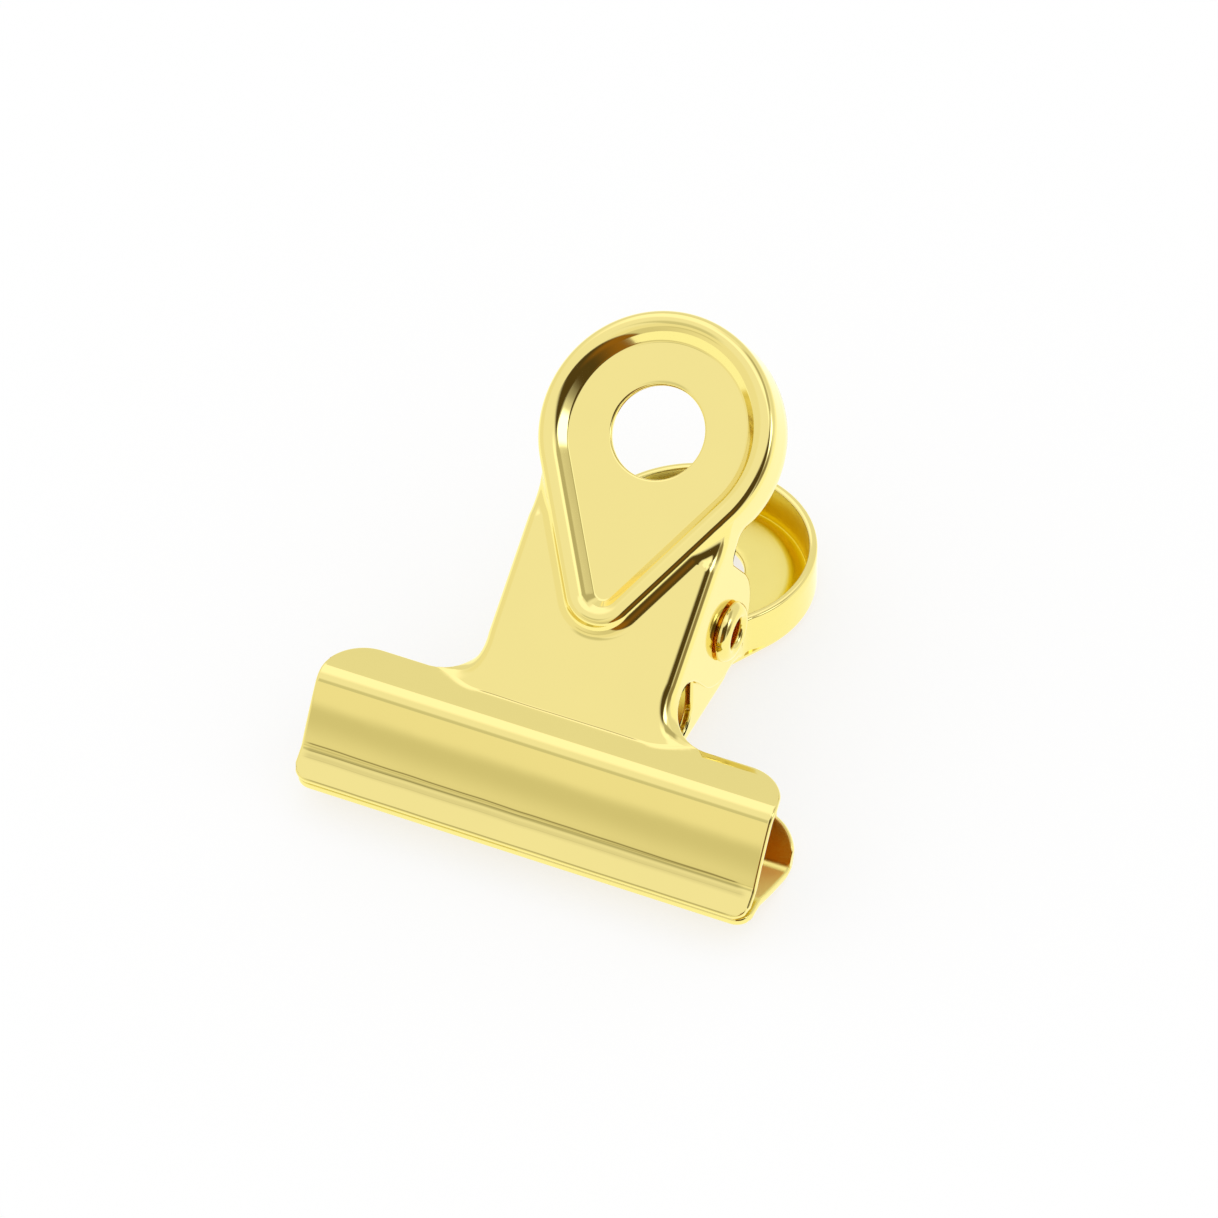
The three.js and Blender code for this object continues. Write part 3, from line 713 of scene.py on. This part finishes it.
def make_rivet():
    """A ring of the rivet's section, which goes round the pivot."""
    head_start = NECK_WIDTH / 2 + RIVET_HEAD_GAP
    head_end = head_start + RIVET_HEAD_THICKNESS
    half = [(SHANK_RADIUS, x) for x in spread(0, head_start, SHANK_STEPS)]
    for turn in spread(0, QUARTER, HEAD_STEPS):
        radius = RIVET_CREST_RADIUS + (RIVET_HEAD_RADIUS - RIVET_CREST_RADIUS) * math.cos(turn)
        half.append((radius, head_start + RIVET_HEAD_THICKNESS * math.sin(turn)))
    throat = RIVET_CREST_RADIUS - BORE_RADIUS
    for turn in spread(0, QUARTER, THROAT_STEPS)[1:]:
        x = head_end - throat * (1 - math.cos(turn))
        half.append((RIVET_CREST_RADIUS - throat * math.sin(turn), x))
    half.append((BORE_RADIUS, 0))
    profile = half + [(radius, -x) for radius, x in reversed(half[1:-1])]
    mesh = bmesh.new()
    rings = []
    for turn in spread(0, 2 * math.pi, RIVET_SIDES)[:-1]:
        ring = []
        for radius, x in profile:
            around = Vector((x, radius * math.cos(turn), radius * math.sin(turn)))
            ring.append(mesh.verts.new(pivot + around))
        rings.append(ring)
    for ring, after in zip(rings, rings[1:] + rings[:1]):
        for j in range(len(profile)):
            k = (j + 1) % len(profile)
            mesh.faces.new((ring[j], after[j], after[k], ring[k]))
    bmesh.ops.recalc_face_normals(mesh, faces=mesh.faces)
    piece = finished("rivet_tube", mesh, slots=1)
    smooth(piece)
    return piece


rivet = make_rivet()

# The torsion spring round the rivet, one leg behind each thumb tab
WIRE_RADIUS = 0.35 * MM
COIL_CLEARANCE = 0.3 * MM
COIL_RADIUS = SHANK_RADIUS + COIL_CLEARANCE + WIRE_RADIUS
COIL_PITCH = 1.16 * MM
WHOLE_TURNS = 4
LEG_REACH = 4.6 * MM
LEG_GAP = 0.15 * MM
STEPS_PER_TURN = 40
LEG_STEPS = 12
WIRE_SIDES = 16


def leg_end(placement):
    """Where a leg ends, behind the floor of a lever's tab."""
    return placement @ Vector((0, LEG_REACH, FLOOR_LEVEL - SHEET - WIRE_RADIUS - LEG_GAP)) - pivot


def leaving_angle(end, side):
    """The angle round the coil, seen along x, at which the wire leaves it for a leg's end."""
    lean = math.acos(COIL_RADIUS / math.hypot(end.y, end.z))
    return math.atan2(end.z, end.y) + side * lean


def spring_path():
    """The points that the wire follows, and half the length of its coil."""
    rear_end = leg_end(rear_placement)
    front_end = leg_end(front_placement)
    first = leaving_angle(rear_end, -1)
    last = leaving_angle(front_end, 1) - 2 * math.pi * (WHOLE_TURNS + 1)
    turned = first - last
    half_length = COIL_PITCH * turned / (2 * math.pi) / 2
    coil = []
    for share in spread(0, 1, round(turned / (2 * math.pi) * STEPS_PER_TURN)):
        angle = first - turned * share
        around = Vector((0, COIL_RADIUS * math.cos(angle), COIL_RADIUS * math.sin(angle)))
        coil.append(around + right * half_length * (2 * share - 1))
    rear_leg = Vector((-half_length, rear_end.y, rear_end.z))
    front_leg = Vector((half_length, front_end.y, front_end.z))
    along_leg = spread(0, 1, LEG_STEPS)
    path = [rear_leg.lerp(coil[0], share) for share in along_leg[:-1]]
    path += coil
    path += [coil[-1].lerp(front_leg, share) for share in along_leg[1:]]
    return [pivot + point for point in path], half_length


def make_spring():
    """The wire, and half the length of its coil."""
    path, half_length = spring_path()
    mesh = bmesh.new()
    across = right.copy()
    rings = []
    for i, point in enumerate(path):
        along = (path[min(i + 1, len(path) - 1)] - path[max(i - 1, 0)]).normalized()
        across = (across - along * across.dot(along)).normalized()
        other = along.cross(across)
        ring = []
        for turn in spread(0, 2 * math.pi, WIRE_SIDES)[:-1]:
            out = across * math.cos(turn) + other * math.sin(turn)
            ring.append(mesh.verts.new(point + out * WIRE_RADIUS))
        rings.append(ring)
    for ring, after in zip(rings, rings[1:]):
        for k in range(WIRE_SIDES):
            j = (k + 1) % WIRE_SIDES
            mesh.faces.new((ring[k], ring[j], after[j], after[k]))
    mesh.faces.new(list(reversed(rings[0])))
    mesh.faces.new(rings[-1])
    bmesh.ops.recalc_face_normals(mesh, faces=mesh.faces)
    piece = finished("spring_wire", mesh, slots=1)
    edges = piece.modifiers.new("edges", "BEVEL")
    edges.width = EDGE_ROUNDING
    edges.segments = EDGE_STEPS
    edges.limit_method = "ANGLE"
    edges.angle_limit = EDGE_ANGLE
    apply_modifiers(piece)
    smooth(piece)
    return piece, half_length


spring, coil_half = make_spring()


def maths(tree, operation, *values):
    node = tree.nodes.new("ShaderNodeMath")
    node.operation = operation
    for socket, value in zip(node.inputs, values):
        if isinstance(value, (int, float)):
            socket.default_value = value
        else:
            tree.links.new(value, socket)
    return node.outputs["Value"]


def smooth_step(tree, value, start, end):
    """0 before start and 1 after end. It falls instead where start is the greater."""
    node = tree.nodes.new("ShaderNodeMapRange")
    node.interpolation_type = "SMOOTHSTEP"
    node.inputs["From Min"].default_value = start
    node.inputs["From Max"].default_value = end
    tree.links.new(value, node.inputs["Value"])
    return node.outputs["Result"]


def window(tree, value, edges):
    """1 inside the two inner edges, and 0 outside the two outer ones."""
    rise, full, ebb, gone = edges
    risen = smooth_step(tree, value, rise, full)
    return maths(tree, "MULTIPLY", risen, smooth_step(tree, value, gone, ebb))


def mix_colour(tree, share, under, over):
    """One colour over another, by its share. Each is a plain colour or what a node gives."""
    node = tree.nodes.new("ShaderNodeMix")
    node.data_type = "RGBA"
    tree.links.new(share, node.inputs["Factor"])
    for socket, colour in ((node.inputs["A"], under), (node.inputs["B"], over)):
        if isinstance(colour, tuple):
            socket.default_value = (*colour, 1)
        else:
            tree.links.new(colour, socket)
    return node.outputs["Result"]


def noise(tree, grain):
    """Noise from 0 to 1 over a piece, of a grain: how fine it is, and how detailed."""
    scale, detail = grain
    place = tree.nodes.new("ShaderNodeTexCoord")
    node = tree.nodes.new("ShaderNodeTexNoise")
    node.inputs["Scale"].default_value = scale
    node.inputs["Detail"].default_value = detail
    tree.links.new(place.outputs["Object"], node.inputs["Vector"])
    return node.outputs["Fac"]


def attribute(tree, name):
    node = tree.nodes.new("ShaderNodeAttribute")
    node.attribute_name = name
    return node.outputs["Fac"]


# Fine dark lines painted on the jaw: painted shade in the crease and along the lip bend, and
# painted dark reflections beside them. For each: how far down it lies at the left end and at the
# right end, how far across it runs, half its width, and how dark it is. They wander a little, and
# fade at both ends.
LINE_GRAIN = (400, 1)
LINE_WANDER = 0.08 * MM
LINE_FADE = 0.4 * MM
HALF_JAW = JAW_WIDTH / 2
PAINTED_SHADE_LINES = (
    (WING_RISE, WING_RISE, (-3.75 * MM, 3.5 * MM), 0.045 * MM, 0.75),
    (FACE_END - 0.08 * MM, FACE_END + 0.02 * MM, (-9.9 * MM, 9.4 * MM), 0.055 * MM, 0.8),
    (FACE_END + 0.22 * MM, FACE_END + 0.02 * MM, (-9.9 * MM, 9.4 * MM), 0.05 * MM, 0.6),
    (FACE_END + 0.14 * MM, FACE_END + 0.14 * MM, (-9.9 * MM, 9.6 * MM), 0.2 * MM, 0.3),
    (FACE_END + 0.5 * MM, FACE_END + 0.42 * MM, (-9.9 * MM, 9.8 * MM), 0.06 * MM, 0.3),
    (FACE_END + 0.42 * MM, FACE_END + 0.4 * MM, (-9.9 * MM, 9.8 * MM), 0.22 * MM, 0.22),
    (JAW_LENGTH - 0.1 * MM, JAW_LENGTH - 0.1 * MM, (-9.4 * MM, 9.4 * MM), 0.05 * MM, 0.4),
)


def painted_line_darkness(tree):
    """How dark the painted shade lines make a place on a lever, from 0 to 1."""
    across = attribute(tree, "across")
    down = attribute(tree, "down")
    wander = maths(tree, "SUBTRACT", noise(tree, LINE_GRAIN), 0.5)
    place = maths(tree, "ADD", down, maths(tree, "MULTIPLY", wander, LINE_WANDER))
    dark = 0
    for at_left, at_right, (start, end), half_width, depth in PAINTED_SHADE_LINES:
        slope = (at_right - at_left) / (2 * HALF_JAW)
        line = maths(tree, "MULTIPLY_ADD", maths(tree, "ADD", across, HALF_JAW), slope, at_left)
        away = maths(tree, "ABSOLUTE", maths(tree, "SUBTRACT", place, line))
        shade = maths(tree, "MULTIPLY", smooth_step(tree, away, half_width, 0), depth)
        ends = window(tree, across, (start, start + LINE_FADE, end - LINE_FADE, end))
        dark = maths(tree, "MAXIMUM", maths(tree, "MULTIPLY", shade, ends), dark)
    return dark


def enclosed(tree, reach, steps):
    """How much metal within reach closes a place in: 0 and 1 at the two steps of openness."""
    node = tree.nodes.new("ShaderNodeAmbientOcclusion")
    node.samples = OPENNESS_SAMPLES
    node.inputs["Distance"].default_value = reach
    return smooth_step(tree, node.outputs["AO"], *steps)


# The golds: the bright plating, its duller inside, the wire, and the dark colour of the painted shade
# lines
GOLD = (0.905, 0.776, 0.292)
INNER_GOLD = (0.88, 0.76, 0.24)
WIRE_GOLD = (0.84, 0.69, 0.27)
PAINTED_LINE_COLOUR = (0.2, 0.15, 0.03)

# The plating is a little uneven: in tone, in gloss, and in height.
DULL_PART = 0.97
TONE_GRAIN = (300, 3)
GLOSS_GRAIN = (900, 4)
GLOSS_RANGE = (0.8, 1.3)
HEIGHT_GRAIN = (350, 2)
UNEVENNESS = 0.004 * MM

# Painted shade: deeper, more saturated tones where metal closes the gold in, which stand in for
# the shade and the gold-on-gold reflections there. For each: how far off the metal counts, how open a
# place is where the tone begins and where it is full, and the tone.
OPENNESS_SAMPLES = 8
RECESS_PAINTED_SHADE = (3 * MM, (0.75, 0.4), (0.86, 0.66, 0.02))
CREVICE_PAINTED_SHADE = (1.6 * MM, (0.5, 0.25), (0.8, 0.5, 0.02))
RIVET_PAINTED_SHADE = (1.6 * MM, (0.6, 0.3), (0.88, 0.68, 0.08))

# Painted shade, deep red-brown, in the hollows inside the rear lever's neck and its jaw's bulge,
# which stands in for dark gold-on-gold reflections there: from how far down to how far down each
# one runs, and its tone. They show only while the other lever closes them in.
CLOSED_REACH = 7 * MM
CLOSED = (0.78, 0.6)
HOLLOW_PAINTED_SHADES = (
    ((-6 * MM, -4 * MM, 0, 0.2 * MM), (0.6, 0.26, 0.005)),
    ((0, 0.2 * MM, BULGE_START + 0.15 * MM, BULGE_START + 0.45 * MM), (0.46, 0.13, 0.004)),
)


def gold(name, colour, roughness, shade_lines=False, recess_shade=None, hollow_shades=()):
    """Gold plating, with the painted shade that shows on it: dark lines and deeper tones."""
    material = bpy.data.materials.new(name)
    material.use_nodes = True
    tree = material.node_tree
    shader = tree.nodes["Principled BSDF"]
    shader.inputs["Metallic"].default_value = 1

    dull = tuple(part * DULL_PART for part in colour)
    tone = mix_colour(tree, noise(tree, TONE_GRAIN), dull, colour)
    # Painted shade: a deeper, more saturated gold where metal closes a place in.
    if recess_shade:
        reach, steps, deep = recess_shade
        tone = mix_colour(tree, enclosed(tree, reach, steps), tone, deep)
    # Painted shade in the rear lever's hollows, which shows while the other lever closes them in.
    if hollow_shades:
        closed = enclosed(tree, CLOSED_REACH, CLOSED)
        for hollow, deep in hollow_shades:
            share = maths(tree, "MULTIPLY", window(tree, attribute(tree, "down"), hollow), closed)
            tone = mix_colour(tree, share, tone, deep)
    # Painted shade and painted dark reflections, as thin lines along the jaw's crease and lip bend.
    if shade_lines:
        tone = mix_colour(tree, painted_line_darkness(tree), tone, PAINTED_LINE_COLOUR)
    tree.links.new(tone, shader.inputs["Base Color"])

    gloss = tree.nodes.new("ShaderNodeMapRange")
    gloss.inputs["To Min"].default_value = roughness * GLOSS_RANGE[0]
    gloss.inputs["To Max"].default_value = roughness * GLOSS_RANGE[1]
    tree.links.new(noise(tree, GLOSS_GRAIN), gloss.inputs["Value"])
    tree.links.new(gloss.outputs["Result"], shader.inputs["Roughness"])

    uneven = tree.nodes.new("ShaderNodeBump")
    uneven.inputs["Strength"].default_value = 1
    uneven.inputs["Distance"].default_value = UNEVENNESS
    tree.links.new(noise(tree, HEIGHT_GRAIN), uneven.inputs["Height"])
    tree.links.new(uneven.outputs["Normal"], shader.inputs["Normal"])
    return material


INNER_ROUGHNESS = 0.3
plate_gold = gold("plate_gold", GOLD, roughness=0.06, shade_lines=True, recess_shade=CREVICE_PAINTED_SHADE)
front_inner_gold = gold("front_inner_gold", INNER_GOLD, INNER_ROUGHNESS, recess_shade=RECESS_PAINTED_SHADE)
rear_inner_gold = gold("rear_inner_gold", INNER_GOLD, INNER_ROUGHNESS, recess_shade=RECESS_PAINTED_SHADE, hollow_shades=HOLLOW_PAINTED_SHADES)
rivet_gold = gold("rivet_gold", GOLD, roughness=0.1, recess_shade=RIVET_PAINTED_SHADE)
wire_gold = gold("wire_gold", WIRE_GOLD, roughness=0.2)

for piece, materials, body, node, slot in (
    (front_lever, (plate_gold, front_inner_gold), "front", "front_lever", "gold_plate"),
    (rear_lever, (plate_gold, rear_inner_gold), "rear", "rear_lever", "gold_plate"),
    (rivet, (rivet_gold,), "rear", "pivot_rivet", "gold_rivet"),
):
    for index, material in enumerate(materials):
        piece.data.materials[index] = material
    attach(piece, body)
    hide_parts(node)

spring.data.materials[0] = wire_gold
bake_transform(spring)
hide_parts("torsion_spring")

# The camera, at the photograph's viewing angle. Its place is in millimetres from the pivot.
CAMERA_FOCAL_PIXELS = 8643
PHOTO_SIZE = 1218
SENSOR = 36
TOWARDS_CAMERA = Vector((104.526, -304.360, -138.526))
CAMERA_RIGHT = Vector((0.91068, 0.13884, 0.38908))
CAMERA_DOWN = Vector((0.28337, 0.47539, -0.83289))
CAMERA_FORWARD = Vector((-0.3006, 0.86875, 0.39358))

# These vectors are for a clip that stands, its front lever tilted by this much. The camera turns
# with the clip from there to where it lies on the table.
STANDING_TILT = math.radians(19.4)
lying = math.atan2(front_out.z, front_out.y) - (math.pi + STANDING_TILT)
lie_down = Matrix.Rotation(lying, 4, "X")

camera_data = bpy.data.cameras.new("camera")
camera = bpy.data.objects.new("camera", camera_data)
bpy.context.scene.collection.objects.link(camera)
bpy.context.scene.camera = camera
camera_data.sensor_width = SENSOR
camera_data.lens = CAMERA_FOCAL_PIXELS * SENSOR / PHOTO_SIZE
camera_data.clip_start = 10 * MM
camera_data.clip_end = 10000 * MM
camera_turn = Matrix((CAMERA_RIGHT, -CAMERA_DOWN, -CAMERA_FORWARD)).transposed().to_4x4()
standing = Matrix.Translation(TOWARDS_CAMERA * MM) @ camera_turn
camera.matrix_world = Matrix.Translation(pivot) @ lie_down @ standing


# What the plating mirrors: a white tent with lamps above it, some soft shade, and a dark opening
# for the camera. Each panel has a colour and fills a soft window, in degrees. Turn goes from the
# front round to the right, height goes up from the table, and over goes from the front over the
# top to the back. The opening's far side slants, so slant is turn less a part of height. Axis is
# no angle: it goes from -1 at the far left to 1 at the far right.
SLANT = 0.6
PANELS = (
    ("left wall", (0.96, 0.94, 0.84), {"turn": (-120, -95, 8, 14), "height": (-40, -12, 30, 40)}),
    ("left shade", (0.75, 0.73, 0.62), {"turn": (-36, 4, 16, 22), "height": (-20, -8, 18, 21)}),
    ("front fold", (0.72, 0.7, 0.57), {"turn": (-34, -28, -12, -4), "height": (11, 17, 18, 21)}),
    ("front seam", (0.7, 0.7, 0.62), {"turn": (-32, -27, -16, -11), "height": (31, 34, 42, 52)}),
    ("back wall", (0.89, 0.89, 0.84), {"over": (131, 134, 200, 230), "height": (0, 4, 60, 70)}),
    (
        "ceiling lamp",
        (1.25, 1.24, 1.34),
        {"over": (74, 94, 132, 135), "axis": (-0.8, -0.6, -0.2, 0)},
    ),
    ("right lamp", (1.25, 1.3, 1.35), {"turn": (45, 65, 100, 120), "height": (58, 66, 78, 84)}),
    ("top lamp", (1.2, 1.24, 1.34), {"height": (72, 78, 91, 92)}),
    ("right wall", (0.54, 0.52, 0.44), {"turn": (84, 95, 150, 170), "height": (40, 48, 62, 70)}),
    ("right shade", (0.3, 0.25, 0.16), {"turn": (66, 76, 92, 112), "height": (-8, 0, 18, 26)}),
    ("right card", (2.4, 2.6, 3.0), {"turn": (78, 86, 102, 110), "height": (24, 30, 42, 48)}),
    (
        "opening",
        (0.09, 0.06, 0.02),
        {"turn": (11, 17, 90, 95), "slant": (-60, -50, 50, 66), "height": (-12, -4, 50, 59)},
    ),
    (
        "opening's corner",
        (0.3, 0.13, 0.015),
        {"turn": (11, 17, 26, 50), "height": (-12, -4, 14, 36)},
    ),
)


def tent(tree):
    """The tent's colour in the direction that a mirrored ray takes."""
    place = tree.nodes.new("ShaderNodeTexCoord")
    axes = tree.nodes.new("ShaderNodeSeparateXYZ")
    tree.links.new(place.outputs["Generated"], axes.inputs["Vector"])
    x, y, z = axes.outputs
    front = maths(tree, "MULTIPLY", y, -1)
    turn = maths(tree, "DEGREES", maths(tree, "ARCTAN2", x, front))
    height = maths(tree, "DEGREES", maths(tree, "ARCSINE", z))
    measures = {
        "turn": turn,
        "height": height,
        "over": maths(tree, "DEGREES", maths(tree, "ARCTAN2", z, front)),
        "slant": maths(tree, "SUBTRACT", turn, maths(tree, "MULTIPLY", height, SLANT)),
        "axis": x,
    }
    colour = (1, 1, 1)
    for _, panel, windows in PANELS:
        share = 1
        for measure, edges in windows.items():
            share = maths(tree, "MULTIPLY", window(tree, measures[measure], edges), share)
        colour = mix_colour(tree, share, colour, panel)
    return colour


world = bpy.data.worlds.new("tent")
bpy.context.scene.world = world
world.use_nodes = True
tree = world.node_tree
path = tree.nodes.new("ShaderNodeLightPath")
background = tree.nodes["Background"]
seen = mix_colour(tree, path.outputs["Is Glossy Ray"], (1, 1, 1), tent(tree))
tree.links.new(seen, background.inputs["Color"])
background.inputs["Strength"].default_value = 1

# The tent is lit all over, so rays find its light without being aimed.
world.cycles.sampling_method = "NONE"

# A round white table that keeps the clip's soft shadow. To the camera it mostly glows, so that it
# runs on into the white of the tent, and in the metal it is a little brighter than white.
TABLE_RADIUS = 90 * MM
TABLE_SIDES = 128
TABLE_GLOW = 0.72
MIRRORED_GLOW = 0.9
MIRRORED_TABLE = (1.15, 1.17, 1.02)


def make_table():
    mesh = bmesh.new()
    bmesh.ops.create_circle(mesh, cap_ends=True, radius=TABLE_RADIUS, segments=TABLE_SIDES)
    table = finished("table", mesh, slots=1)
    material = bpy.data.materials.new("table_white")
    material.use_nodes = True
    tree = material.node_tree
    tree.nodes.clear()
    output = tree.nodes.new("ShaderNodeOutputMaterial")
    diffuse = tree.nodes.new("ShaderNodeBsdfDiffuse")
    diffuse.inputs["Color"].default_value = (1, 1, 1, 1)
    glow = tree.nodes.new("ShaderNodeEmission")
    path = tree.nodes.new("ShaderNodeLightPath")
    seen = maths(tree, "MULTIPLY", path.outputs["Is Camera Ray"], TABLE_GLOW)
    share = maths(tree, "MULTIPLY_ADD", path.outputs["Is Glossy Ray"], MIRRORED_GLOW, seen)
    tint = mix_colour(tree, path.outputs["Is Glossy Ray"], (1, 1, 1), MIRRORED_TABLE)
    tree.links.new(tint, glow.inputs["Color"])
    mixed = tree.nodes.new("ShaderNodeMixShader")
    tree.links.new(share, mixed.inputs["Fac"])
    tree.links.new(diffuse.outputs["BSDF"], mixed.inputs[1])
    tree.links.new(glow.outputs["Emission"], mixed.inputs[2])
    tree.links.new(mixed.outputs["Shader"], output.inputs["Surface"])
    table.data.materials[0] = material
    return table


make_table()
